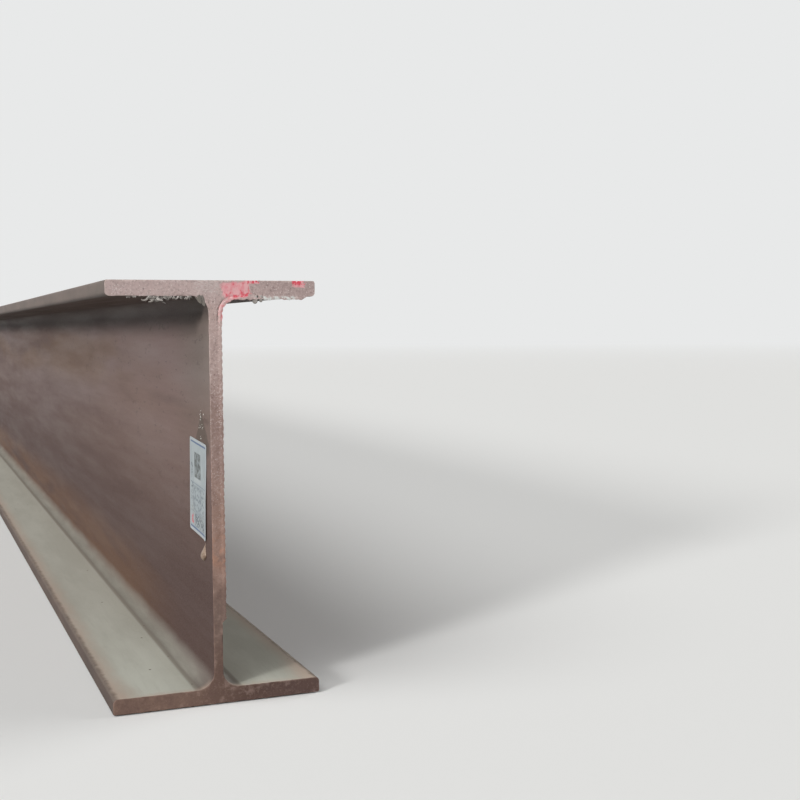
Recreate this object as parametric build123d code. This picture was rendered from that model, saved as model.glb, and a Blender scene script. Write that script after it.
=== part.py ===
from build123d import *
import math
import os

# Hot-rolled section of the beam, millimetres
section_height = 404.0
flange_width = 201.0
web_thickness = 9.0
flange_thickness = 15.0
root_radius = 16.0
toe_inner_radius = 4.0
toe_outer_radius = 2.0

# Length of the bar as it is sold
stock_length = 6000.0

# Flash, the lip of steel that the saw pushes out of each cut on the side where the blade leaves it.
# It runs up the web from its foot, round the upper root and along under the top flange.
flash_reach = 3.5
flash_depth = 3.0
flash_foot_height = 79.0

# Paper label on the left side of the web, turned a few degrees clockwise
label_width = 72.0
label_height = 94.0
label_thickness = 0.3
label_corner_radius = 2.5
label_end_gap = 20.0
label_turn = 3.0

half_width = flange_width / 2
half_web = web_thickness / 2
near_end = -stock_length / 2


def rolled_section():
    """Cross-section of the bar: two parallel flanges on a web, standing on the X axis."""
    upper_inside = section_height - flange_thickness
    right_corners = [
        (half_width, 0, toe_outer_radius),
        (half_width, flange_thickness, toe_inner_radius),
        (half_web, flange_thickness, root_radius),
        (half_web, upper_inside, root_radius),
        (half_width, upper_inside, toe_inner_radius),
        (half_width, section_height, toe_outer_radius),
    ]
    left_corners = [(-x, z, radius) for x, z, radius in reversed(right_corners)]
    corners = right_corners + left_corners
    outline = FilletPolyline(
        [(x, z) for x, z, _ in corners],
        radius=[radius for _, _, radius in corners],
        close=True,
    )
    return make_face(outline)


def saw_flash(section):
    """Flash of the near end: the section swollen at the cut, tapering back to the rolled surface."""
    cut_plane = Plane.XZ.offset(-near_end)
    taper = math.degrees(math.atan2(flash_reach, flash_depth))
    swollen = extrude(cut_plane * offset(section, flash_reach), amount=-flash_depth, taper=taper)
    exit_side = Pos(0, near_end, flash_foot_height) * Box(
        half_width,
        flash_depth,
        section_height - flange_thickness / 2 - flash_foot_height,
        align=(Align.MIN, Align.MIN, Align.MIN),
    )
    return swollen & exit_side


def h_beam():
    """The whole bar, lying along Y with its middle over the origin."""
    section = rolled_section()
    bar = extrude(Plane.XZ * section, amount=stock_length / 2, both=True)
    near_flash = saw_flash(section)
    far_flash = mirror(near_flash, about=Plane.XZ)
    return bar + near_flash + far_flash


def web_label():
    """Label seated on the web's left face, half way up and close to the near end."""
    seat = Plane(
        origin=(-half_web, near_end + label_end_gap + label_width / 2, section_height / 2),
        x_dir=(0, -1, 0),
        z_dir=(-1, 0, 0),
    )
    outline = Rot(0, 0, -label_turn) * RectangleRounded(label_width, label_height, label_corner_radius)
    return extrude(seat * outline, amount=label_thickness)


nodes = {"h_beam": h_beam(), "web_label": web_label()}
os.makedirs("parts", exist_ok=True)
for name, solid in nodes.items():
    export_step(solid, f"parts/{name}.step")
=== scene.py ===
import math
import random
from collections import namedtuple

import bpy
from mathutils import Matrix, Vector, kdtree, noise
from mathutils.geometry import delaunay_2d_cdt


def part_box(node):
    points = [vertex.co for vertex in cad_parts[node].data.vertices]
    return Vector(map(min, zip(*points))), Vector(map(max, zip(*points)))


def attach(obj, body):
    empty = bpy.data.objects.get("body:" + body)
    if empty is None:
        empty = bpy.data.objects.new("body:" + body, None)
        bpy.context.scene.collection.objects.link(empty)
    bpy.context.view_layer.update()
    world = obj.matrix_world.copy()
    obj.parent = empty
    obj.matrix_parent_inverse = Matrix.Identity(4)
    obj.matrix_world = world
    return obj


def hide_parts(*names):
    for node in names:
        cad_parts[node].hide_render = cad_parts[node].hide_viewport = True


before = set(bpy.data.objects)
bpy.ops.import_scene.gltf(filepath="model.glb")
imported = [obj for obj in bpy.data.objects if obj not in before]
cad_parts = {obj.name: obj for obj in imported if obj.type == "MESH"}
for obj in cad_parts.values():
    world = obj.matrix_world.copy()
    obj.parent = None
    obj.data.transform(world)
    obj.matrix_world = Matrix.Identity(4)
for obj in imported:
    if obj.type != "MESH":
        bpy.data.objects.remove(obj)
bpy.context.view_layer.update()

_, beam_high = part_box("h_beam")
label_low, label_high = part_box("web_label")

# Rolled section, in metres; its overall sizes come from the frame
mm = 0.001
half_width = beam_high.x
half_length = beam_high.y
height = beam_high.z
half_web = 4.5 * mm
flange_thickness = 15 * mm
root_radius = 16 * mm
toe_inner_radius = 4 * mm
toe_outer_radius = 2 * mm
near_end = -half_length

# Flash and worn edges of the two cuts
flash_reach = 3.5 * mm
flash_depth = 3 * mm
flash_foot = 79 * mm
tooth_pitch = 7 * mm
tooth_mark = 0.8 * mm
face_sink = 0.5 * mm
sink_fade = 2 * mm
worn_edge = 0.28 * mm
worn_fade = 0.5 * mm
sharp_turn = math.radians(50)

# Spacing of the bar's mesh: round its outline, over its cut faces and along it
arc_step = 1.2 * mm
fine_step = 1.2 * mm
coarse_step = 2.2 * mm
cap_spacing = 1.05 * mm
rim_clearance = 0.55 * mm
end_zone = 0.6
middle_rings = 10

# Label
label_width = 72 * mm
label_height = 94 * mm
label_corner = 2.5 * mm
label_turn = math.radians(3)
label_thickness = 0.25 * mm
label_lift = 0.9 * mm

# Photograph's camera: 800 pixels square
camera_place = Vector((-0.2767, near_end - 1.1624, 0.3571))
camera_yaw = math.radians(21.81)
camera_pitch = math.radians(-3.25)
camera_roll = math.radians(0.42)
camera_lens = 56.4

OutlinePoint = namedtuple("OutlinePoint", "x z out_x out_z run")
Finish = namedtuple("Finish", "color roughness relief")


# Small helpers

def smooth(value, low, high):
    """0 below low, 1 above high, and a smooth step between them."""
    share = min(1.0, max(0.0, (value - low) / (high - low)))
    return share * share * (3 - 2 * share)


def wobble(size, *place):
    """Smooth noise from about -1 to 1 whose bumps measure about size."""
    x, y, z = (*place, 0.0, 0.0)[:3]
    return noise.noise(Vector((x, y, z)) / size)


def srgb(red, green, blue):
    """Linear colour of three 0 to 255 display values."""
    def linear(value):
        value /= 255
        return value / 12.92 if value <= 0.04045 else ((value + 0.055) / 1.055) ** 2.4
    return (linear(red), linear(green), linear(blue), 1.0)


def new_piece(name, vertices, faces, material):
    """A smooth-shaded piece of the bar or its finish, in one material."""
    mesh = bpy.data.meshes.new(name)
    mesh.from_pydata(vertices, [], faces)
    mesh.update()
    mesh.materials.append(material)
    mesh.shade_smooth()
    piece = bpy.data.objects.new(name, mesh)
    bpy.context.scene.collection.objects.link(piece)
    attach(piece, "root")
    return piece


def tube_faces(rings, around, first=0, flipped=False):
    """Quads round a tube whose rings have around vertices each, the first of them numbered first."""
    faces = []
    for ring in range(rings - 1):
        for step in range(around):
            a = first + ring * around + step
            b = first + ring * around + (step + 1) % around
            faces.append((a, a + around, b + around, b) if flipped else (a, b, b + around, a + around))
    return faces


# Node graphs of the materials and the world

class Nodes:
    """Node tree of a material or world; most methods add nodes and give the last one's output."""

    def __init__(self, owner):
        owner.use_nodes = True
        self.tree = owner.node_tree
        self.tree.nodes.clear()

    def node(self, kind, *inputs, **settings):
        """A node whose first sockets are fed with inputs."""
        made = self.tree.nodes.new(kind)
        for name, value in settings.items():
            setattr(made, name, value)
        for socket, value in zip(made.inputs, inputs):
            self.feed(socket, value)
        return made

    def feed(self, socket, value):
        if isinstance(value, bpy.types.NodeSocket):
            self.tree.links.new(value, socket)
        else:
            socket.default_value = value

    def feed_named(self, made, **values):
        """Feeds the sockets of these names; an underscore stands for a space."""
        for name, value in values.items():
            self.feed(made.inputs[name.replace("_", " ")], value)

    def math(self, operation, first, *others):
        """One operation over all the values, from the left."""
        for other in others:
            first = self.node("ShaderNodeMath", first, other, operation=operation).outputs[0]
        return first

    def add(self, *values):
        return self.math("ADD", *values)

    def sub(self, a, b):
        return self.math("SUBTRACT", a, b)

    def mul(self, *values):
        return self.math("MULTIPLY", *values)

    def most(self, *values):
        return self.math("MAXIMUM", *values)

    def size_of(self, value):
        return self.node("ShaderNodeMath", value, operation="ABSOLUTE").outputs[0]

    def fade(self, value, low, high):
        """0 at low, 1 at high, smooth between them; low may be the larger."""
        made = self.node("ShaderNodeMapRange", value, low, high, interpolation_type="SMOOTHSTEP")
        return made.outputs["Result"]

    def band(self, value, middle, half, soft):
        """1 within half of middle, falling to 0 over soft."""
        return self.fade(self.size_of(self.sub(value, middle)), half + soft, half)

    def blend(self, share, a, b):
        """Number between a and b."""
        made = self.node("ShaderNodeMix", data_type="FLOAT")
        self.feed(made.inputs[0], share)
        self.feed(made.inputs[2], a)
        self.feed(made.inputs[3], b)
        return made.outputs[0]

    def mix(self, share, a, b):
        """Colour between a and b."""
        made = self.node("ShaderNodeMix", data_type="RGBA")
        self.feed(made.inputs[0], share)
        self.feed(made.inputs[6], a)
        self.feed(made.inputs[7], b)
        return made.outputs[2]

    def stain(self, color, tone, *shares):
        """Colour with a tone of display values over it, as strong as the product of shares."""
        return self.mix(self.mul(*shares), color, srgb(*tone))

    def seeing_rays(self):
        """1 for the rays that show a surface, 0 for those that light one."""
        rays = self.node("ShaderNodeLightPath").outputs
        return self.most(rays["Is Camera Ray"], rays["Is Glossy Ray"], rays["Is Transmission Ray"])


class Graph(Nodes):
    """Nodes of one material, with the place and the normal of the shaded point."""

    def __init__(self, name):
        self.material = bpy.data.materials.new(name)
        super().__init__(self.material)
        self.place = self.node("ShaderNodeTexCoord").outputs["Object"]
        self.x, self.y, self.z = self.node("ShaderNodeSeparateXYZ", self.place).outputs
        normal = self.node("ShaderNodeNewGeometry").outputs["Normal"]
        self.normal_x, _, self.normal_z = self.node("ShaderNodeSeparateXYZ", normal).outputs

    def from_ends(self, start, stop):
        """0 at start metres from the nearer end of the bar, 1 at stop metres."""
        return self.fade(self.size_of(self.y), half_length - start, half_length - stop)

    def stretched(self, size, stretch, seed):
        """Place in units of size, drawn out along the axes by stretch."""
        made = self.node("ShaderNodeMapping", self.place)
        shift = (seed * 7.3, seed * 3.1, seed * 5.7)
        self.feed_named(made, Location=shift, Scale=[1 / (size * drawn) for drawn in stretch])
        return made.outputs[0]

    def noise(self, size, detail=2.0, rough=0.5, stretch=(1, 1, 1), seed=0):
        """Noise from 0 to 1 with features of about size metres."""
        made = self.node("ShaderNodeTexNoise")
        place = self.stretched(size, stretch, seed)
        self.feed_named(made, Vector=place, Scale=1.0, Detail=detail, Roughness=rough)
        return made.outputs[0]

    def cells(self, size, seed=0, stretch=(1, 1, 1)):
        """A random value for each cell of about size metres, and the distance from its middle."""
        made = self.node("ShaderNodeTexVoronoi")
        self.feed_named(made, Vector=self.stretched(size, stretch, seed), Scale=1.0)
        value = self.node("ShaderNodeSeparateXYZ", made.outputs["Color"]).outputs[0]
        return value, made.outputs["Distance"]

    def attribute(self, name):
        return self.node("ShaderNodeAttribute", attribute_name=name).outputs["Fac"]

    def over(self, under, top, share):
        """One finish lying over another where share is 1."""
        return Finish(
            self.mix(share, under.color, top.color),
            self.blend(share, under.roughness, top.roughness),
            self.blend(share, under.relief, top.relief),
        )

    def stained(self, finish, tone, *shares):
        """The same finish, stained as stain does."""
        return finish._replace(color=self.stain(finish.color, tone, *shares))

    def surface(self, finish, specular=0.5):
        """Closes the graph with a shader of this finish; relief is in metres."""
        bump = self.node("ShaderNodeBump")
        self.feed_named(bump, Strength=1.0, Distance=1.0, Height=finish.relief)
        shader = self.node("ShaderNodeBsdfPrincipled")
        self.feed_named(
            shader,
            Base_Color=finish.color,
            Roughness=finish.roughness,
            Specular_IOR_Level=specular,
            Normal=bump.outputs[0],
        )
        self.node("ShaderNodeOutputMaterial", shader.outputs[0])
        return self.material


# Mill-scale steel: rolled faces, dust, roots, toes, sawn ends and marking paint

def rolled_scale(g):
    """Mauve-brown mill scale whose blotches and rust are drawn out along the bar."""
    clouds = g.noise(0.13, 3, 0.55, (1, 10, 1), seed=1)
    patches = g.noise(0.032, 4, 0.6, (1, 13, 1), seed=2)
    streaks = g.noise(0.008, 3, 0.6, (1, 40, 1), seed=3)
    drips = g.noise(0.08, 3, 0.55, (1, 3, 4), seed=4)
    stains = g.noise(0.016, 5, 0.75, (1, 3.5, 1), seed=9)
    specks = g.noise(0.0045, 3, 0.65, (1, 5, 1), seed=5)
    fine = g.noise(0.0013, 3, 0.6, seed=6)

    color = g.mix(g.fade(clouds, 0.38, 0.62), srgb(129, 109, 105), srgb(122, 99, 90))
    color = g.stain(color, (90, 75, 72), g.fade(patches, 0.5, 0.74), 0.36)
    color = g.stain(color, (138, 119, 113), g.fade(patches, 0.46, 0.28), 0.2)
    color = g.stain(color, (134, 117, 110), g.fade(streaks, 0.55, 0.75), 0.2)
    color = g.stain(color, (100, 82, 75), g.fade(drips, 0.5, 0.66), 0.2)

    near_grey = g.mul(g.fade(g.y, near_end + 0.2, near_end + 0.02), g.fade(g.z, 0.2, 0.34))
    color = g.stain(color, (112, 106, 96), near_grey, 0.5)
    inner = g.from_ends(0.05, 1.2)
    color = g.stain(color, (73, 57, 52), inner, 0.5)
    # Painted shade: the web darkens towards its bottom.
    color = g.stain(color, (59, 40, 36), g.fade(g.z, 0.31, 0.09), 0.9)
    # Painted shade on faces turned downwards and on the web just below the upper root.
    upper_root_shade = g.mul(g.fade(g.z, 0.362, 0.376), g.fade(g.size_of(g.x), 0.06, 0.03))
    painted_underside_shade = g.most(g.fade(g.normal_z, -0.2, -0.8), upper_root_shade)
    color = g.stain(color, (52, 41, 36), painted_underside_shade, 0.7)

    low_clouds = g.fade(g.noise(0.09, 3, 0.6, (1, 7, 0.6), seed=7), 0.34, 0.54)
    low_rust = g.mul(g.fade(g.z, 0.11, 0.05), low_clouds, g.from_ends(0.1, 0.5))
    high_clouds = g.fade(g.noise(0.12, 3, 0.6, (1, 7, 1), seed=8), 0.46, 0.62)
    high_rust = g.mul(g.band(g.z, 0.315, 0.015, 0.04), high_clouds)
    color = g.stain(color, (89, 64, 48), low_rust, 0.92)
    color = g.stain(color, (112, 88, 68), high_rust, 0.5)
    color = g.stain(color, (74, 56, 50), g.fade(stains, 0.59, 0.67), 0.42)
    color = g.stain(color, (62, 50, 47), g.fade(specks, 0.62, 0.72), 0.5)
    color = g.stain(color, (156, 141, 136), g.fade(fine, 0.35, 0.65), 0.12)

    roughness = g.blend(g.fade(patches, 0.3, 0.7), 0.52, 0.68)
    relief = g.add(g.mul(fine, 0.05 * mm), g.mul(patches, 0.25 * mm), g.mul(streaks, 0.04 * mm))
    return Finish(color, roughness, relief)


def shelf_dust(g):
    """Pale grey-green dust that lies on the lower flange."""
    clouds = g.noise(0.05, 4, 0.6, (1, 5, 1), seed=11)
    streaks = g.noise(0.006, 3, 0.6, (1, 16, 1), seed=12)
    fine = g.noise(0.0011, 2, 0.6, seed=13)
    value, distance = g.cells(0.014, seed=14, stretch=(1, 1.6, 1))
    color = g.mix(g.fade(clouds, 0.35, 0.65), srgb(195, 196, 184), srgb(180, 180, 168))
    by_root = g.fade(g.size_of(g.x), 62 * mm, 24 * mm)
    color = g.stain(color, (155, 151, 138), by_root, 0.3)
    color = g.stain(color, (148, 145, 133), g.fade(streaks, 0.5, 0.75), 0.16)
    # Darker away from the ends: painted shade of the upper flange over the lower.
    inner = g.from_ends(0.02, 0.5)
    color = g.stain(color, (153, 147, 137), inner, 0.42)
    color = g.stain(color, (206, 204, 194), g.fade(fine, 0.4, 0.7), 0.2)
    speck = g.mul(g.fade(value, 0.66, 0.68), g.fade(distance, 0.11, 0.06))
    color = g.stain(color, (98, 90, 78), speck, 0.8)
    relief = g.add(g.mul(fine, 0.09 * mm), g.mul(streaks, 0.03 * mm))
    return Finish(color, 0.85, relief)


def top_dust(g):
    """Beige dust with scratches and tan stains on the upper flange's top."""
    clouds = g.noise(0.12, 4, 0.6, (1, 2.5, 1), seed=21)
    stains = g.noise(0.05, 4, 0.65, seed=22)
    scratches = g.noise(0.0022, 2, 0.5, (1, 45, 1), seed=23)
    cross = g.noise(0.0022, 2, 0.5, (40, 1.5, 1), seed=24)
    fine = g.noise(0.0011, 2, 0.6, seed=25)
    color = g.mix(g.fade(clouds, 0.36, 0.64), srgb(194, 184, 169), srgb(169, 157, 142))
    color = g.stain(color, (134, 114, 100), g.fade(stains, 0.56, 0.7), 0.5)
    scored = g.fade(scratches, 0.66, 0.74)
    color = g.stain(color, (208, 200, 188), scored, 0.6)
    color = g.stain(color, (212, 204, 194), g.fade(cross, 0.7, 0.76), 0.5)
    color = g.stain(color, (196, 188, 176), g.fade(fine, 0.4, 0.7), 0.2)
    relief = g.add(g.mul(fine, 0.08 * mm), g.mul(scored, -0.05 * mm))
    return Finish(color, 0.8, relief)


def root_band(g):
    """Lighter grey of the lower root fillets."""
    patches = g.noise(0.012, 4, 0.6, (1, 9, 1), seed=31)
    fine = g.noise(0.0012, 2, 0.6, seed=32)
    color = g.mix(g.fade(patches, 0.35, 0.65), srgb(150, 147, 137), srgb(134, 130, 121))
    inner = g.from_ends(0.02, 0.22)
    color = g.stain(color, (108, 104, 95), inner, 0.5)
    color = g.stain(color, (152, 147, 137), g.fade(fine, 0.4, 0.7), 0.15)
    return Finish(color, 0.8, g.add(g.mul(fine, 0.07 * mm), g.mul(patches, 0.06 * mm)))


def toe_rust_and_shade(g):
    """Grey-brown of the worn toes, paler on the upper flange; the lower toes' darker tone is partly painted
    shade.
    """
    patches = g.noise(0.03, 3, 0.6, (1, 3, 1), seed=41)
    fine = g.noise(0.0012, 2, 0.6, seed=42)
    # Lower toes: rust, darkened partly as painted shade.
    lower = g.mix(g.fade(patches, 0.35, 0.65), srgb(82, 69, 62), srgb(68, 58, 53))
    upper = g.mix(g.fade(patches, 0.35, 0.65), srgb(110, 100, 94), srgb(96, 88, 83))
    color = g.mix(g.fade(g.z, 0.2, 0.3), lower, upper)
    color = g.stain(color, (140, 124, 114), g.fade(fine, 0.42, 0.7), 0.25)
    return Finish(color, 0.6, g.mul(fine, 0.08 * mm))


def sawn_face(g):
    """Granular sawn steel, pinkish and pale at the top and browner below, partly as painted shade, with
    painted glints and worn edges lightened partly as a painted highlight.
    """
    grain = g.noise(0.0021, 3, 0.7, seed=51)
    coarse = g.noise(0.011, 4, 0.6, seed=52)
    value, distance = g.cells(0.0014, seed=53)
    # above runs from 0 low on the face to 1 high; the darkening downwards that it and the stains by height
    # give is partly the steel's own tone, partly painted shade.
    above = g.fade(g.z, 0.06, 0.36)
    color = g.mix(g.fade(g.x, -60 * mm, 60 * mm), srgb(134, 109, 97), srgb(90, 70, 64))
    color = g.stain(color, (130, 109, 100), g.fade(g.z, 30 * mm, 80 * mm))
    color = g.stain(color, (167, 136, 123), g.fade(g.z, 90 * mm, 138 * mm))
    color = g.stain(color, (168, 142, 134), g.fade(g.z, 160 * mm, 250 * mm))
    color = g.stain(color, (202, 177, 171), g.fade(g.z, 270 * mm, 340 * mm))
    color = g.stain(color, (208, 185, 181), g.fade(g.z, 375 * mm, 392 * mm))
    color = g.stain(color, (120, 100, 96), g.fade(g.x, 25 * mm, 60 * mm), 0.2)
    color = g.stain(color, (108, 86, 79), g.fade(coarse, 0.44, 0.66), g.blend(above, 0.5, 0.14))
    color = g.stain(color, (212, 184, 172), g.fade(coarse, 0.46, 0.26), g.blend(above, 0.26, 0.18))
    light_grain = g.mix(above, srgb(152, 126, 114), srgb(224, 206, 202))
    color = g.mix(g.mul(g.fade(grain, 0.5, 0.7), g.blend(above, 0.4, 0.6)), color, light_grain)
    color = g.stain(color, (92, 74, 69), g.fade(grain, 0.46, 0.28), g.blend(above, 0.24, 0.5))
    # Painted glints: pale dots standing in for sparkle on the grain, mostly high on the face.
    painted_glint = g.mul(g.fade(value, 0.78, 0.82), g.fade(distance, 0.45, 0.2))
    color = g.stain(color, (236, 224, 219), painted_glint, g.blend(above, 0.0, 0.75))
    # A cluster of painted glints near the upper flange's outer tip.
    at_tip = g.mul(g.band(g.x, -88 * mm, 5 * mm, 4 * mm), g.band(g.z, 396 * mm, 3 * mm, 3 * mm))
    painted_sparkle = g.mul(g.fade(value, 0.5, 0.55), g.fade(distance, 0.5, 0.2))
    color = g.stain(color, (240, 232, 229), painted_sparkle, at_tip, 0.7)
    scratches = g.noise(0.0016, 3, 0.6, (1.8, 1, 0.8), seed=57)
    scraped = g.mul(g.band(g.x, -6 * mm, 9 * mm, 6 * mm), g.fade(g.z, 388 * mm, 396 * mm))
    color = g.stain(color, (222, 210, 206), scraped, g.fade(scratches, 0.44, 0.56), 0.6)
    # A pale line along the cut's rim: partly rubbed wear, partly a painted highlight.
    rim_wear_and_highlight = g.mul(g.attribute("edge"), g.fade(g.noise(0.02, 2, seed=55), 0.4, 0.55))
    color = g.mix(g.mul(rim_wear_and_highlight, 0.6), color, g.mix(above, srgb(146, 122, 110), srgb(212, 194, 186)))
    smear = g.mul(g.band(g.z, 0.147, 0.008, 0.012), g.fade(g.noise(0.006, 3, seed=54), 0.4, 0.6))
    color = g.stain(color, (200, 152, 128), smear, 0.5)
    crust = g.mul(g.band(g.x, 63 * mm, 15 * mm, 5 * mm), g.band(g.z, 387 * mm, 1.6 * mm, 1.2 * mm))
    color = g.stain(color, (226, 226, 222), crust, g.fade(g.noise(0.003, 2, seed=56), 0.4, 0.55))
    relief = g.add(g.mul(grain, 0.3 * mm), g.mul(coarse, 0.15 * mm))
    return Finish(color, g.blend(g.fade(grain, 0.3, 0.7), 0.5, 0.36), relief)


def marking_paint(g):
    """Pinkish-red paint, thin over the grain and brighter where it is thick."""
    thick = g.noise(0.0045, 4, 0.65, (0.8, 1, 1.3), seed=61)
    low = g.mul(g.fade(g.z, height - 8 * mm, height - 14 * mm), 0.11)
    beside = g.mul(g.band(g.x, 33 * mm, 1 * mm, 4 * mm), 0.12)
    outer = g.mul(g.fade(g.x, 36 * mm, 39 * mm), g.fade(g.z, height - 5 * mm, height - 3 * mm), 0.2)
    heavy = g.fade(g.add(thick, g.most(outer, g.add(low, beside))), 0.6, 0.74)
    color = g.mix(g.fade(thick, 0.4, 0.62), srgb(250, 192, 194), srgb(246, 160, 167))
    color = g.stain(color, (238, 92, 108), heavy)
    return Finish(color, g.blend(g.fade(thick, 0.42, 0.62), 0.5, 0.28), g.mul(thick, 0.2 * mm))


def paint_share(g):
    """Where the paint lies on the near end: a patch beside the upper root, its run and a dab at the tip."""
    ragged = g.mul(g.sub(g.noise(0.006, 3, 0.65, seed=62), 0.5), 12 * mm)
    x = g.add(g.x, ragged)
    z = g.add(g.z, g.mul(g.sub(g.noise(0.005, 2, seed=63), 0.5), 5 * mm))
    patch = g.mul(g.band(x, 22 * mm, 12 * mm, 3 * mm), g.band(z, 395 * mm, 6 * mm, 2 * mm))
    dab = g.mul(g.band(x, 84 * mm, 4.5 * mm, 2 * mm), g.band(z, 401 * mm, 2.6 * mm, 1 * mm))
    streak = g.mul(g.band(x, 36 * mm, 7 * mm, 2 * mm), g.fade(g.z, height - 3.4 * mm, height - 2.2 * mm))
    near_root = g.mul(g.fade(g.x, 27 * mm, 22 * mm), g.fade(g.z, 360 * mm, 368 * mm))
    broken = g.fade(g.noise(0.006, 2, seed=65), 0.4, 0.6)
    run = g.mul(g.attribute("lip"), near_root, broken, 0.55)
    worn_through = g.fade(g.noise(0.0035, 2, 0.6, (0.8, 1, 1.4), seed=64), 0.26, 0.46)
    at_cut = g.fade(g.y, near_end + 5 * mm, near_end + 3 * mm)
    return g.mul(g.most(patch, streak, dab, run), g.blend(worn_through, 0.7, 1.0), at_cut)


def grease_share(g):
    """A dark leaf-shaped smear on the web above the label."""
    tip, foot = 283 * mm, 242 * mm
    middle, half_wide = near_end + 37 * mm, 30 * mm
    down = g.fade(g.z, tip, foot)
    ragged = g.mul(g.sub(g.noise(0.01, 2, seed=71), 0.5), 6 * mm)
    edge = g.add(g.mul(down, half_wide), ragged)
    inside = g.fade(g.sub(g.size_of(g.sub(g.y, middle)), edge), 2 * mm, -2 * mm)
    rows = g.mul(g.fade(g.z, tip, tip - 6 * mm), g.fade(g.z, foot - 8 * mm, foot))
    left_face = g.fade(g.normal_x, -0.5, -0.9)
    return g.mul(inside, rows, left_face)


def root_share(g, lower_half):
    """Where the lighter band lies: over the lower root fillets, fading towards the cuts."""
    uneven = g.mul(g.noise(0.02, 2, stretch=(1, 4, 1), seed=82), 8 * mm)
    by_height = g.fade(g.add(g.z, uneven), 36 * mm, 18 * mm)
    by_width = g.fade(g.size_of(g.x), 30 * mm, 20 * mm)
    return g.mul(by_height, by_width, lower_half, g.from_ends(-60 * mm, 90 * mm))


def tan_share(g, shelf):
    """Where the lower flange turns tan: along its toes, round its corners and beside the cuts."""
    ragged = g.mul(g.noise(0.012, 4, 0.7, (1, 3, 1), seed=83), 18 * mm)
    corner = g.mul(g.from_ends(90 * mm, 0), 9 * mm)
    by_toe = g.fade(g.add(g.size_of(g.x), corner, ragged), 84 * mm, 112 * mm)
    by_cut = g.fade(g.add(g.size_of(g.y), ragged), half_length - 4 * mm, half_length + 13 * mm)
    return g.mul(g.most(by_toe, g.mul(by_cut, 0.8)), shelf)


def mill_scale_steel():
    """The bar's material, from the rolled scale up to the paint."""
    g = Graph("mill_scale_steel")
    across = g.size_of(g.x)
    lower_half = g.fade(g.z, height / 2 + 10 * mm, height / 2 - 10 * mm)
    shelf = g.mul(g.fade(g.normal_z, 0.35, 0.9), lower_half)

    finish = g.over(rolled_scale(g), root_band(g), root_share(g, lower_half))
    finish = g.over(finish, shelf_dust(g), g.mul(shelf, g.fade(across, 17.5 * mm, 21.5 * mm)))
    # A darker line where the lower root fillet meets the flange: painted shade of the crease.
    crease_shade = g.mul(g.band(across, 20.4 * mm, 0.7 * mm, 3.6 * mm), shelf)
    finish = g.stained(finish, (112, 102, 93), crease_shade, 0.66)
    finish = g.stained(finish, (182, 159, 143), tan_share(g, shelf), 0.75)

    top = g.mul(g.fade(g.normal_z, 0.6, 0.95), g.fade(g.z, height - 3 * mm, height - 1 * mm))
    finish = g.over(finish, top_dust(g), g.mul(top, 0.9))
    ragged = g.mul(g.noise(0.012, 3, 0.6, seed=81), 6 * mm)
    toe_edge = g.fade(g.add(across, ragged), 96 * mm, 102 * mm)
    finish = g.over(finish, toe_rust_and_shade(g), g.mul(toe_edge, 0.85))

    grease = grease_share(g)
    finish = g.stained(finish, (66, 54, 42), grease, 0.68)
    finish = finish._replace(roughness=g.blend(grease, finish.roughness, 0.5))
    sawn = g.attribute("sawn")
    finish = g.over(finish, sawn_face(g), sawn)
    finish = g.over(finish, marking_paint(g), g.mul(paint_share(g), sawn))
    return g.surface(finish, specular=0.14)


# The bar: one closed mesh, swept along Y between its two sawn ends

def section_outline():
    """Points round the section, anticlockwise from the middle of its underside, seen from the near end."""
    inside = height - flange_thickness
    right = [
        (half_width, 0.0, toe_outer_radius),
        (half_width, flange_thickness, toe_inner_radius),
        (half_web, flange_thickness, root_radius),
        (half_web, inside, root_radius),
        (half_width, inside, toe_inner_radius),
        (half_width, height, toe_outer_radius),
    ]
    left = [(-x, z, radius) for x, z, radius in reversed(right)]
    corners = [(0.0, 0.0, 0.0)] + right + left
    outline = []
    run = 0.0

    def add_point(place, out):
        nonlocal run
        if outline:
            run += math.hypot(place.x - outline[-1].x, place.y - outline[-1].z)
        outline.append(OutlinePoint(place.x, place.y, out.x, out.y, run))

    for index, (x, z, radius) in enumerate(corners):
        here = Vector((x, z))
        next_x, next_z, next_radius = corners[(index + 1) % len(corners)]
        way_in = (here - Vector(corners[index - 1][:2])).normalized()
        way_out = (Vector((next_x, next_z)) - here).normalized()
        turn = round(way_in.cross(way_out))
        start_out = Vector((way_in.y, -way_in.x))
        centre = here - way_in * radius - start_out * radius * turn
        steps = max(1, round(radius * math.pi / 2 / arc_step)) if radius else 0
        for step in range(steps + 1):
            angle = turn * math.pi / 2 * step / max(steps, 1)
            out = Matrix.Rotation(angle, 2) @ start_out
            add_point(centre + out * radius * turn, out)
        start = here + way_out * radius
        stop = Vector((next_x, next_z)) - way_out * next_radius
        middle = (start + stop) / 2
        fine = half_web <= middle.x < half_width and flash_foot < middle.y < height - flange_thickness / 2
        pieces = max(1, round((stop - start).length / (fine_step if fine else coarse_step)))
        for piece in range(1, pieces):
            add_point(start.lerp(stop, piece / pieces), Vector((way_out.y, -way_out.x)))
    return outline


def flash_share(point):
    """How fully the flash stands at this point of the outline, 0 to 1."""
    if point.x < half_web / 2 or point.z > height - flange_thickness / 2:
        return 0.0
    rise = smooth(point.z, flash_foot - 2 * mm, flash_foot + 3 * mm)
    fall = 1 - smooth(point.x, half_width - 16 * mm, half_width - 6 * mm)
    return rise * fall


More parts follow.
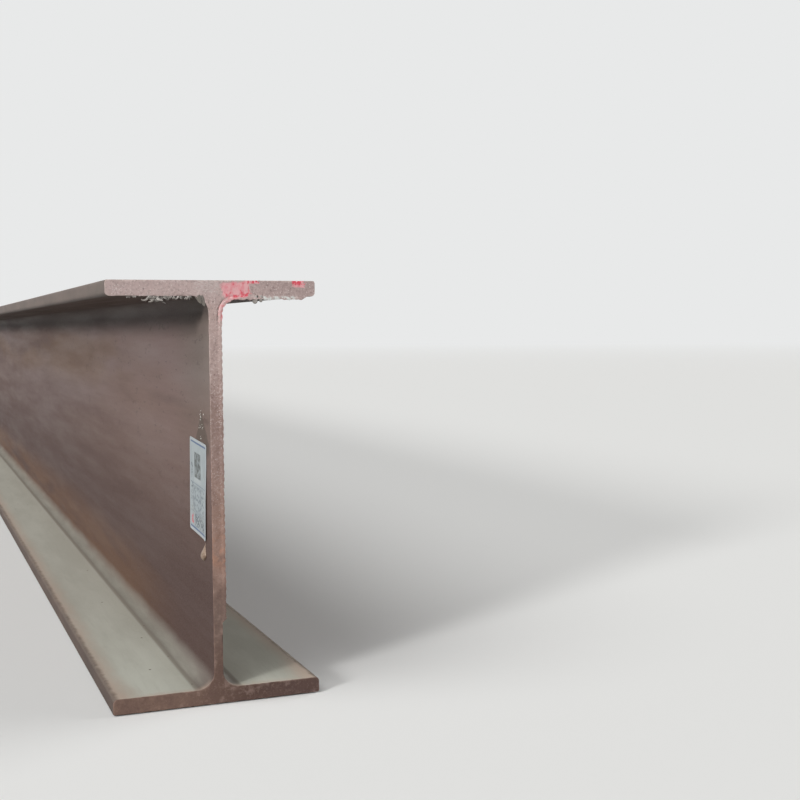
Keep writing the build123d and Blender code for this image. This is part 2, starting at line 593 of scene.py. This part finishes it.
def edge_shift(point, seed):
    """How far the cut's edge stands outside the rolled outline: out at the flash, in where it is worn."""
    share = flash_share(point)
    worn = worn_edge * (1 + 1.5 * wobble(9 * mm, point.run, seed) + 1.8 * wobble(3 * mm, point.run, seed))
    on_web = 1 - smooth(point.x, half_web + 2 * mm, half_web + 10 * mm)
    teeth = tooth_mark * (abs(math.sin(math.pi * point.run / tooth_pitch)) - 0.7)
    crumbs = 1.3 * mm * wobble(3.2 * mm, point.run, seed + 4)
    crumbs += 0.8 * mm * wobble(11 * mm, point.run, seed + 8)
    waves = 0.5 * mm * wobble(24 * mm, point.run, seed)
    reach = flash_reach + on_web * teeth + (1 - on_web) * crumbs + waves
    at_root = smooth(point.z, 358 * mm, 368 * mm) * on_web
    return share * (reach + 0.8 * mm * at_root) - (1 - share) * max(worn, 0.0)


def cut_depths():
    """Depths of the rings behind a cut: close together at the flash and wider along the bar."""
    depths = [0.0, 0.45 * mm, 0.95 * mm, 1.5 * mm, 2.2 * mm, flash_depth]
    gap = 1.2 * mm
    while depths[-1] < end_zone:
        depths.append(depths[-1] + gap)
        gap *= 1.55
    depths[-1] = end_zone
    return depths


def cut_ring(outline, depth, seed):
    """One ring of the bar at this depth behind a cut, as (x, z, depth) triples."""
    ring = []
    for point in outline:
        shift = edge_shift(point, seed)
        share = flash_share(point)
        fade_over = flash_depth if shift > 0 else worn_fade
        shift *= max(0.0, 1 - depth / fade_over) ** 1.1
        sink = (1 - share) * face_sink * max(0.0, 1 - depth / sink_fade)
        ring.append((point.x + point.out_x * shift, point.z + point.out_z * shift, depth + sink))
    return ring


def cap_relief(x, z, beyond, seed):
    """Depth of the sawn face below the cut plane, at a place so far beyond the rolled outline."""
    grain = 0.10 * mm * wobble(1.7 * mm, x, z, seed) + 0.10 * mm * wobble(7 * mm, x, z, seed)
    lip = smooth(beyond, -0.8 * mm, 2.2 * mm)
    at_root = smooth(z, 360 * mm, 368 * mm) * (1 - smooth(x, 22 * mm, 28 * mm)) * smooth(x, 0, half_web)
    groove = math.exp(-((beyond - 0.1 * mm) / (0.45 * mm)) ** 2)
    groove *= (0.1 + 0.8 * at_root) * mm * lip_near(x, z)
    return max(0.0, face_sink * (1 - lip) + grain * (1 - 0.5 * lip) + groove)


def lip_near(x, z):
    """1 beside the flash and 0 elsewhere on the face."""
    on_web = smooth(x, 0, half_web) * smooth(z, flash_foot - 2 * mm, flash_foot + 3 * mm)
    return on_web * (1 - smooth(z, height - 8 * mm, height - 4 * mm))


def cap_points(outline, ring):
    """Places inside a cut's ring, on a loose grid, each with how far it lies beyond the rolled outline."""
    rim, rolled = kdtree.KDTree(len(ring)), kdtree.KDTree(len(outline))
    for index, (x, z, _) in enumerate(ring):
        rim.insert((x, z, 0), index)
    for index, point in enumerate(outline):
        rolled.insert((point.x, point.z, 0), index)
    rim.balance()
    rolled.balance()

    def outside(tree, places, x, z):
        _, index, _ = tree.find((x, z, 0))
        point = outline[index]
        return (x - places[index][0]) * point.out_x + (z - places[index][1]) * point.out_z

    found = []
    rolled_places = [(point.x, point.z) for point in outline]
    for row in range(int(height / cap_spacing) + 1):
        for column in range(int(2 * half_width / cap_spacing) + 1):
            x = -half_width + (column + 0.5 * (row % 2)) * cap_spacing
            z = row * cap_spacing
            near_flange = min(z, height - z) < flange_thickness + root_radius
            if not near_flange and abs(x) > half_web + 2 * flash_reach:
                continue
            x += 0.25 * cap_spacing * wobble(0.9 * mm, x, z, 1)
            z += 0.25 * cap_spacing * wobble(0.9 * mm, x, z, 2)
            if outside(rim, ring, x, z) < -rim_clearance:
                found.append((x, z, outside(rolled, rolled_places, x, z)))
    return found


def cap_faces(ring, inner):
    """Triangles that fill a cut's ring through the inner places, anticlockwise seen from the near end."""
    flat = [Vector((x / mm, z / mm)) for x, z, _ in ring + inner]
    rim = list(range(len(ring)))
    _, _, faces, origins, _, _ = delaunay_2d_cdt(flat, [], [rim], 1, 1e-5)
    return [[origins[corner][0] for corner in face] for face in faces if all(origins[c] for c in face)]


def build_beam(material):
    """The whole bar, from its rings and its two sawn faces."""
    outline = section_outline()
    count = len(outline)
    depths = cut_depths()
    near_rings = [cut_ring(outline, depth, seed=1) for depth in depths]
    far_rings = [cut_ring(outline, depth, seed=2) for depth in depths]
    inner_span = half_length - end_zone
    middle = [inner_span * (2 * step / middle_rings - 1) for step in range(1, middle_rings)]

    vertices, sawn, lip, edge, stations = [], [], [], [], []

    def add_ring(points, is_cut):
        stations.append(points[0][1])
        for point, (x, y, z) in zip(outline, points):
            vertices.append((x, y, z))
            sawn.append(1.0 if is_cut else 0.0)
            lip.append(flash_share(point) if is_cut else 0.0)
            edge.append(1.0 - flash_share(point) if is_cut else 0.0)

    for index, ring in enumerate(near_rings):
        add_ring([(x, near_end + depth, z) for x, z, depth in ring], index == 0)
    for y in middle:
        add_ring([(point.x, y, point.z) for point in outline], False)
    for index, ring in reversed(list(enumerate(far_rings))):
        add_ring([(x, half_length - depth, z) for x, z, depth in ring], index == 0)

    faces = tube_faces(len(stations), count, flipped=True)
    last_ring = (len(stations) - 1) * count
    caps = (
        (near_rings[0], 0, near_end, 1, 1),
        (far_rings[0], last_ring, half_length, -1, 2),
    )
    for ring, first, cut, inward, seed in caps:
        inner = cap_points(outline, ring)
        start = len(vertices)
        for x, z, beyond in inner:
            vertices.append((x, cut + inward * cap_relief(x, z, beyond, seed), z))
            sawn.append(1.0)
            lip.append(smooth(beyond, -0.6 * mm, 0.4 * mm) * lip_near(x, z))
            edge.append(0.0)
        for face in cap_faces(ring, inner):
            corners = [first + c if c < count else start + c - count for c in face]
            faces.append(corners if inward > 0 else corners[::-1])

    beam = new_piece("steel_beam", vertices, faces, material)
    mesh = beam.data
    for name, values in (("sawn", sawn), ("lip", lip), ("edge", edge)):
        mesh.attributes.new(name, "FLOAT", "POINT").data.foreach_set("value", values)
    mesh.set_sharp_from_angle(angle=sharp_turn)
    lay_out_map(mesh, outline, stations)
    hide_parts("h_beam")


def lay_out_map(mesh, outline, stations):
    """Surface map: the sides unrolled with more room for the two ends, and the cut faces beside them."""
    side_width, cap_left, cap_width, cap_height = 0.76, 0.775, 0.22, 0.44
    near_foot, far_foot, margin = 0.53, 0.03, 0.003
    count = len(outline)
    girth = outline[-1].run + math.hypot(outline[-1].x, outline[-1].z)
    end_share = 0.29

    def along(y):
        depth = half_length - abs(y)
        if depth < end_zone:
            share = end_share * depth / end_zone
        else:
            share = end_share + (0.5 - end_share) * (depth - end_zone) / (half_length - end_zone)
        return margin + (1 - 2 * margin) * (share if y < 0 else 1 - share)

    layer = mesh.uv_layers.new(name="OFBake")
    side_vertices = len(stations) * count
    for polygon in mesh.polygons:
        corners = [mesh.loops[loop].vertex_index for loop in polygon.loop_indices]
        is_side = len(corners) == 4
        ring_places = [corner % count for corner in corners if corner < side_vertices]
        wraps = is_side and max(ring_places) - min(ring_places) > 1
        for loop, corner in zip(polygon.loop_indices, corners):
            x, y, z = mesh.vertices[corner].co
            if is_side:
                place = corner % count
                run = girth if wraps and place == 0 else outline[place].run
                layer.data[loop].uv = (margin + side_width * run / girth, along(y))
            else:
                foot = near_foot if y < 0 else far_foot
                across = (x + half_width) / (2 * half_width)
                layer.data[loop].uv = (cap_left + cap_width * across, foot + cap_height * z / height)


# Label: thin printed sheet on the web's left face, its near edge lifting a little

def label_paper():
    """Off-white paper with bars, rules, blots and a stamp that spell nothing."""
    g = Graph("label_paper")
    print_place = g.node("ShaderNodeUVMap", uv_map="print").outputs[0]
    u, v, _ = g.node("ShaderNodeSeparateXYZ", print_place).outputs
    down = g.mul(g.sub(1.0, v), label_height)
    across = g.mul(u, label_width)

    def line(value, middle, half):
        """A line of the print, in millimetres."""
        return g.band(value, middle * mm, half * mm, 0.25 * mm)

    def area(left, right, top, bottom, soft=0.4):
        """A rectangle of the print, in millimetres from the label's left and top."""
        wide = g.band(across, (left + right) / 2 * mm, (right - left) / 2 * mm, soft * mm)
        tall = g.band(down, (top + bottom) / 2 * mm, (bottom - top) / 2 * mm, soft * mm)
        return g.mul(wide, tall)

    clouds = g.noise(0.02, 3, 0.6, seed=91)
    fibre = g.noise(0.0012, 3, 0.6, seed=92)
    color = g.mix(g.fade(clouds, 0.35, 0.65), srgb(165, 174, 176), srgb(153, 162, 165))
    color = g.stain(color, (164, 173, 177), g.fade(fibre, 0.4, 0.7), 0.15)

    blue = (56, 84, 126)
    margin = g.sub(1.0, area(3, 69, 3, 91))
    color = g.stain(color, (182, 187, 189), margin, 0.6)
    bars = g.mul(g.most(line(down, 3.7, 0.75), line(down, 90, 0.8)), area(4, 68, 2, 92))
    color = g.stain(color, blue, bars, 0.95)
    sides = g.mul(g.most(line(across, 4, 0.15), line(across, 68, 0.15)), area(3, 69, 3.6, 90))
    color = g.stain(color, blue, sides, 0.5)

    blots = g.fade(g.noise(0.0045, 2, 0.6, seed=93), 0.42, 0.56)
    patch = g.mul(area(21, 47, 14, 38, soft=1.2), g.blend(blots, 0.35, 0.96))
    color = g.stain(color, (54, 60, 58), patch)
    color = g.stain(color, (180, 186, 186), area(20, 50, 39, 43), 0.5)

    upright = g.most(*(line(across, place, 0.15) for place in (14, 27, 44)))
    rules = g.most(line(down, 45, 0.35), line(down, 74, 0.2), g.mul(upright, area(4, 68, 45, 74)))
    rules = g.mul(rules, area(5, 67, 5, 89))
    color = g.stain(color, (92, 108, 126), rules, 0.7)

    faint_ink = g.fade(g.noise(0.0034, 3, 0.6, (1.6, 1.6, 1), seed=94), 0.47, 0.57)
    faint = g.mul(area(16, 62, 48, 72, soft=2), faint_ink)
    color = g.stain(color, (96, 107, 116), faint, 0.8)
    scribble_ink = g.fade(g.noise(0.0026, 3, 0.6, seed=95), 0.49, 0.54)
    scribble = g.mul(area(24, 62, 76, 87, soft=2), scribble_ink)
    tick_ink = g.fade(g.noise(0.003, 2, 0.6, seed=98), 0.54, 0.58)
    ticks = g.mul(area(7, 13, 26, 70, soft=1), tick_ink)
    color = g.stain(color, (58, 68, 78), g.most(scribble, ticks), 0.95)
    stamp_ink = g.fade(g.noise(0.0055, 2, seed=99), 0.47, 0.53)
    stamp = g.mul(area(9, 17, 77, 86, soft=1), stamp_ink)
    color = g.stain(color, (206, 72, 88), stamp, 0.9)
    grime = g.fade(g.noise(0.03, 4, 0.65, seed=97), 0.52, 0.72)
    color = g.stain(color, (118, 112, 104), grime, 0.25)
    return g.surface(Finish(color, 0.42, g.mul(fibre, 0.03 * mm)))


def build_label(material):
    """A closed sheet in the label's own place, lifting off along its near edge below the middle."""
    columns, rows = 30, 38
    centre = (label_low + label_high) / 2
    vertices, coordinates = [], []

    def inset(u, v):
        """Pulls the four corners in to their radius."""
        x = (u - 0.5) * label_width
        z = (v - 0.5) * label_height
        limit_x = label_width / 2 - label_corner
        limit_z = label_height / 2 - label_corner
        over_x, over_z = abs(x) - limit_x, abs(z) - limit_z
        if over_x > 0 and over_z > 0:
            far = math.hypot(over_x, over_z)
            reach = max(over_x, over_z) / far
            x = math.copysign(limit_x + over_x * reach, x)
            z = math.copysign(limit_z + over_z * reach, z)
        return x, z

    def place(u, v, proud):
        """Where a point of the sheet lies; proud is its distance in front of the sheet's back."""
        x, z = inset(u, v)
        along = x * math.cos(label_turn) + z * math.sin(label_turn)
        up = -x * math.sin(label_turn) + z * math.cos(label_turn)
        lift = label_lift * smooth(u, 0.8, 1.0) * (1 - smooth(v, 0.3, 0.85))
        lift += 0.15 * mm * smooth(u, 0.7, 1.0)
        ripple = 0.12 * mm * (1 + wobble(18 * mm, x, z, 5))
        return (-half_web - 0.05 * mm - proud - lift - ripple, centre.y - along, centre.z + up)

    for proud in (label_thickness, 0.0):
        for row in range(rows + 1):
            for column in range(columns + 1):
                u, v = column / columns, row / rows
                vertices.append(place(u, v, proud))
                coordinates.append((u, v))
    wide = columns + 1
    back = wide * (rows + 1)
    faces = []
    for row in range(rows):
        for column in range(columns):
            a = row * wide + column
            faces.append((a, a + 1, a + 1 + wide, a + wide))
            faces.append((a + back, a + wide + back, a + 1 + wide + back, a + 1 + back))
    rim = list(range(wide))
    rim += [row * wide + columns for row in range(1, rows + 1)]
    rim += [rows * wide + column for column in range(columns - 1, -1, -1)]
    rim += [row * wide for row in range(rows - 1, 0, -1)]
    for index, a in enumerate(rim):
        b = rim[(index + 1) % len(rim)]
        faces.append((a, a + back, b + back, b))
    label = new_piece("paper_label", vertices, faces, material)
    layer = label.data.uv_layers.new(name="print")
    for loop in label.data.loops:
        layer.data[loop.index].uv = coordinates[loop.vertex_index]
    label.data.set_sharp_from_angle(angle=sharp_turn)
    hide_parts("web_label")


# Slivers, drip and specks

def burr_steel():
    """Torn bright steel, darker on the hanging tongues beside the web as painted shade."""
    g = Graph("burr_steel")
    grain = g.noise(0.0012, 2, 0.6, seed=101)
    tint = g.noise(0.006, 2, 0.5, seed=102)
    color = g.mix(g.fade(tint, 0.35, 0.65), srgb(190, 183, 177), srgb(140, 133, 126))
    color = g.stain(color, (208, 203, 198), g.fade(grain, 0.5, 0.7), 0.4)
    # The hanging tongues beside the web are darkened: painted shade.
    flap_shade = g.band(g.x, -13.5 * mm, 5.5 * mm, 1 * mm)
    color = g.stain(color, (112, 104, 96), flap_shade, 0.85)
    return g.surface(Finish(color, 0.4, g.mul(grain, 0.08 * mm)), specular=0.6)


def dried_glue():
    """Brownish glue of the drip."""
    g = Graph("dried_glue")
    tint = g.noise(0.006, 3, 0.55, seed=111)
    fine = g.noise(0.0015, 2, 0.6, seed=112)
    color = g.mix(g.fade(tint, 0.35, 0.65), srgb(150, 128, 110), srgb(112, 90, 74))
    return g.surface(Finish(color, 0.45, g.mul(fine, 0.1 * mm)))


def glue_beads_painted_glint():
    """Near-white glue of the specks: a painted highlight standing in for glints on clear glue."""
    g = Graph("glue_beads_painted_glint")
    tint = g.noise(0.003, 2, 0.5, seed=113)
    # Near-white colour: painted glints.
    color = g.mix(g.fade(tint, 0.35, 0.65), srgb(226, 226, 220), srgb(204, 202, 192))
    return g.surface(Finish(color, 0.2, g.mul(tint, 0.05 * mm)), specular=0.6)


def ribbon(vertices, faces, path, widths, thickness, sides=6):
    """A closed flattened strip along a path, added to vertices and faces."""
    first = len(vertices)
    for index, here in enumerate(path):
        ahead = path[min(index + 1, len(path) - 1)]
        behind = path[max(index - 1, 0)]
        way = (ahead - behind).normalized()
        flat = way.cross(Vector((0.25, 1, 0.1))).normalized()
        thin = way.cross(flat)
        for side in range(sides):
            angle = 2 * math.pi * side / sides
            offset = flat * widths[index] / 2 * math.cos(angle) + thin * thickness / 2 * math.sin(angle)
            vertices.append(here + offset)
    faces.extend(tube_faces(len(path), sides, first))
    last = first + (len(path) - 1) * sides
    faces.append(tuple(first + side for side in reversed(range(sides))))
    faces.append(tuple(last + side for side in range(sides)))


def curl(root, length, bend, way, rng, steps=10):
    """A path that leaves root downwards and curls as it goes."""
    path = [root.copy()]
    direction = Vector((0.35 * rng.uniform(-1, 1), 0.25 * rng.uniform(0, 1), -1)).normalized()
    for _ in range(steps):
        direction = (Matrix.Rotation(bend / steps * way, 3, "Y") @ direction).normalized()
        direction.y += 0.12 * rng.uniform(-1, 1)
        path.append(path[-1] + direction.normalized() * length / steps)
    return path


def build_slivers(material):
    """Saw slivers that hang from the edges of the near cut under the upper flange."""
    rng = random.Random(11)
    underside = height - flange_thickness
    vertices, faces = [], []

    def hang(x, length, width, bend):
        """A curled sliver that hangs from the edge at x."""
        root = Vector((x, near_end + rng.uniform(0.6, 2.5) * mm, underside + 0.4 * mm))
        path = curl(root, length, bend, rng.choice((-1, 1)), rng)
        path = [Vector((p.x, max(p.y, near_end + 0.3 * mm), min(p.z, underside + 0.4 * mm))) for p in path]
        widths = [width * (1 - 0.7 * (index / (len(path) - 1)) ** 2) for index in range(len(path))]
        ribbon(vertices, faces, path, widths, 0.35 * mm)

    def flap(middle, drop, wide, lean):
        """A thin tongue that hangs from the cut's lower edge."""
        steps = 9
        path = [Vector((middle + lean * t, near_end + (0.5 + 0.6 * t) * mm, underside + 0.5 * mm - drop * t))
                for t in (step / steps for step in range(steps + 1))]
        widths = [wide * math.sqrt(max(0.06, 1 - (step / steps) ** 2.5)) for step in range(steps + 1)]
        ribbon(vertices, faces, path, widths, 0.4 * mm, sides=8)

    # How many, then the ranges of place, length and width in millimetres and of bend in radians
    tufts = (
        (22, (-61, -42), (5, 12), (1.7, 3.3), (1.5, 5.0)),
        (22, (-45, -19), (1.5, 4.2), (1.2, 2.6), (0.3, 1.6)),
        (7, (-80, -64), (1, 2.2), (1.5, 3), (0.3, 1)),
    )
    for count, *ranges in tufts:
        for _ in range(count):
            x, length, width, bend = (rng.uniform(*limits) for limits in ranges)
            hang(x * mm, length * mm, width * mm, bend)
    for middle, drop, wide, lean in ((-15, 7.5, 5, 4), (-12, 10, 4.5, 4), (40, 7.5, 7, 1), (45, 6, 5, 2)):
        flap(middle * mm, drop * mm, wide * mm, lean * mm)
    for place in vertices:
        place.y = max(place.y, near_end + 0.1 * mm)
    slivers = new_piece("saw_slivers", vertices, faces, material)


def build_specks(material):
    """Beads of clear glue spattered over the smear above the label."""
    rng = random.Random(4)
    vertices, faces = [], []
    rings, around = 4, 8
    for _ in range(19):
        z = rng.uniform(246, 279) * mm
        y = near_end + rng.gauss(38, 5) * mm
        radius = rng.uniform(0.3, 0.7) * mm
        first = len(vertices)
        for ring in range(rings):
            tilt = math.pi / 2 * (1 - ring / rings)
            for step in range(around):
                angle = 2 * math.pi * step / around
                out, rise = radius * math.sin(tilt), 0.7 * radius * math.cos(tilt)
                x = -half_web - rise + 0.02 * mm
                vertices.append((x, y + out * math.cos(angle), z + 1.3 * out * math.sin(angle)))
        vertices.append((-half_web - 0.7 * radius, y, z))
        top = len(vertices) - 1
        faces.extend(tube_faces(rings, around, first, flipped=True))
        last = first + (rings - 1) * around
        for step in range(around):
            faces.append((last + step, top, last + (step + 1) % around))
        faces.append(tuple(first + step for step in range(around)))
    new_piece("glue_specks", vertices, faces, material)


def build_drip(material):
    """A flattened teardrop of glue on the web below the label."""
    top = Vector((near_end + 29 * mm, 151 * mm))
    foot = Vector((near_end + 37 * mm, 132 * mm))
    proud, half_wide = 4 * mm, 11 * mm
    rings, around = 14, 20
    vertices = []
    for ring in range(rings + 1):
        t = ring / rings
        centre = top.lerp(foot, t)
        wide = 0.05 * mm
        if 0 < t < 1:
            wide = half_wide * math.sin(math.pi * t ** 1.6) ** 0.8 * (0.35 + 0.65 * t)
        for step in range(around):
            angle = 2 * math.pi * step / around
            out = math.cos(angle)
            bulge = wide / half_wide * proud
            depth = bulge * out if out > 0 else 0.4 * mm * out
            side = math.sin(angle) * wide * (1 + 0.12 * wobble(5 * mm, centre.y, angle * mm))
            vertices.append((-half_web - depth, centre.x + side, centre.y))
    faces = tube_faces(rings + 1, around)
    faces.append(tuple(reversed(range(around))))
    faces.append(tuple(rings * around + step for step in range(around)))
    new_piece("glue_drip", vertices, faces, material)


# Stage, lights and camera

floor_color = srgb(235, 235, 233)
floor_bounce = srgb(112, 112, 110)
backdrop_color = srgb(232, 233, 233)
floor_half_size = 90.0
floor_drop = 1 * mm
backdrop_start = 6.0
backdrop_full = 26.0
world_light = 0.12


def stage_floor():
    """Pale floor that runs into the backdrop's colour far from the bar."""
    g = Graph("pale_floor")
    seen = g.seeing_rays()
    lit = g.node("ShaderNodeBsdfDiffuse", g.mix(seen, floor_bounce, floor_color))
    backdrop = g.node("ShaderNodeEmission", backdrop_color, 1.0)
    squared = g.add(g.mul(g.x, g.x), g.mul(g.y, g.y))
    distance = g.node("ShaderNodeMath", squared, operation="SQRT").outputs[0]
    far = g.mul(g.fade(distance, backdrop_start, backdrop_full), seen)
    floor_shader = g.node("ShaderNodeMixShader", far, lit.outputs[0], backdrop.outputs[0])
    g.node("ShaderNodeOutputMaterial", floor_shader.outputs[0])
    corners = [
        (x * floor_half_size, y * floor_half_size, -floor_drop)
        for x, y in ((-1, -1), (1, -1), (1, 1), (-1, 1))
    ]
    mesh = bpy.data.meshes.new("floor")
    mesh.from_pydata(corners, [], [(0, 1, 2, 3)])
    mesh.materials.append(g.material)
    floor = bpy.data.objects.new("floor", mesh)
    bpy.context.scene.collection.objects.link(floor)


def add_sun(name, azimuth, elevation, strength, spread):
    """A soft sun; azimuth 0 shines from the near end and 90 from the right."""
    data = bpy.data.lights.new(name, "SUN")
    data.energy = strength
    data.angle = math.radians(spread)
    lamp = bpy.data.objects.new(name, data)
    a, e = math.radians(azimuth), math.radians(elevation)
    towards_lamp = Vector((math.sin(a) * math.cos(e), -math.cos(a) * math.cos(e), math.sin(e)))
    lamp.rotation_euler = towards_lamp.to_track_quat("Z", "Y").to_euler()
    bpy.context.scene.collection.objects.link(lamp)


def light_scene():
    """Key and fill from the labelled side, a little from the front and a low fill from the right."""
    add_sun("left_key", azimuth=-58, elevation=16.5, strength=2.1, spread=10)
    add_sun("left_fill", azimuth=-72, elevation=54, strength=1.5, spread=45)
    add_sun("front", azimuth=-24, elevation=10, strength=0.36, spread=30)
    add_sun("right_fill", azimuth=98, elevation=16, strength=2.0, spread=50)
    world = bpy.data.worlds.new("studio")
    nodes = Nodes(world)
    light = nodes.node("ShaderNodeBackground", srgb(255, 255, 255), world_light)
    backdrop = nodes.node("ShaderNodeBackground", backdrop_color, 1.0)
    mixed = nodes.node("ShaderNodeMixShader", nodes.seeing_rays(), light.outputs[0], backdrop.outputs[0])
    nodes.node("ShaderNodeOutputWorld", mixed.outputs[0])
    bpy.context.scene.world = world


def place_camera():
    """Looks along the bar from beside its near end, as the photograph does."""
    data = bpy.data.cameras.new("camera")
    data.lens = camera_lens
    data.sensor_width = 36
    data.clip_start = 0.01
    data.clip_end = 200
    camera = bpy.data.objects.new("camera", data)
    forward = Vector((
        math.sin(camera_yaw) * math.cos(camera_pitch),
        math.cos(camera_yaw) * math.cos(camera_pitch),
        math.sin(camera_pitch),
    ))
    level = Vector((math.cos(camera_yaw), -math.sin(camera_yaw), 0))
    down = forward.cross(level)
    right = level * math.cos(camera_roll) + down * math.sin(camera_roll)
    up = -(down * math.cos(camera_roll) - level * math.sin(camera_roll))
    turn = Matrix((right, up, -forward)).transposed().to_4x4()
    camera.matrix_world = Matrix.Translation(camera_place) @ turn
    bpy.context.scene.collection.objects.link(camera)
    bpy.context.scene.camera = camera


place_camera()
light_scene()
stage_floor()
build_beam(mill_scale_steel())
build_label(label_paper())
build_slivers(burr_steel())
build_drip(dried_glue())
build_specks(glue_beads_painted_glint())

bpy.context.scene.view_settings.view_transform = "Standard"
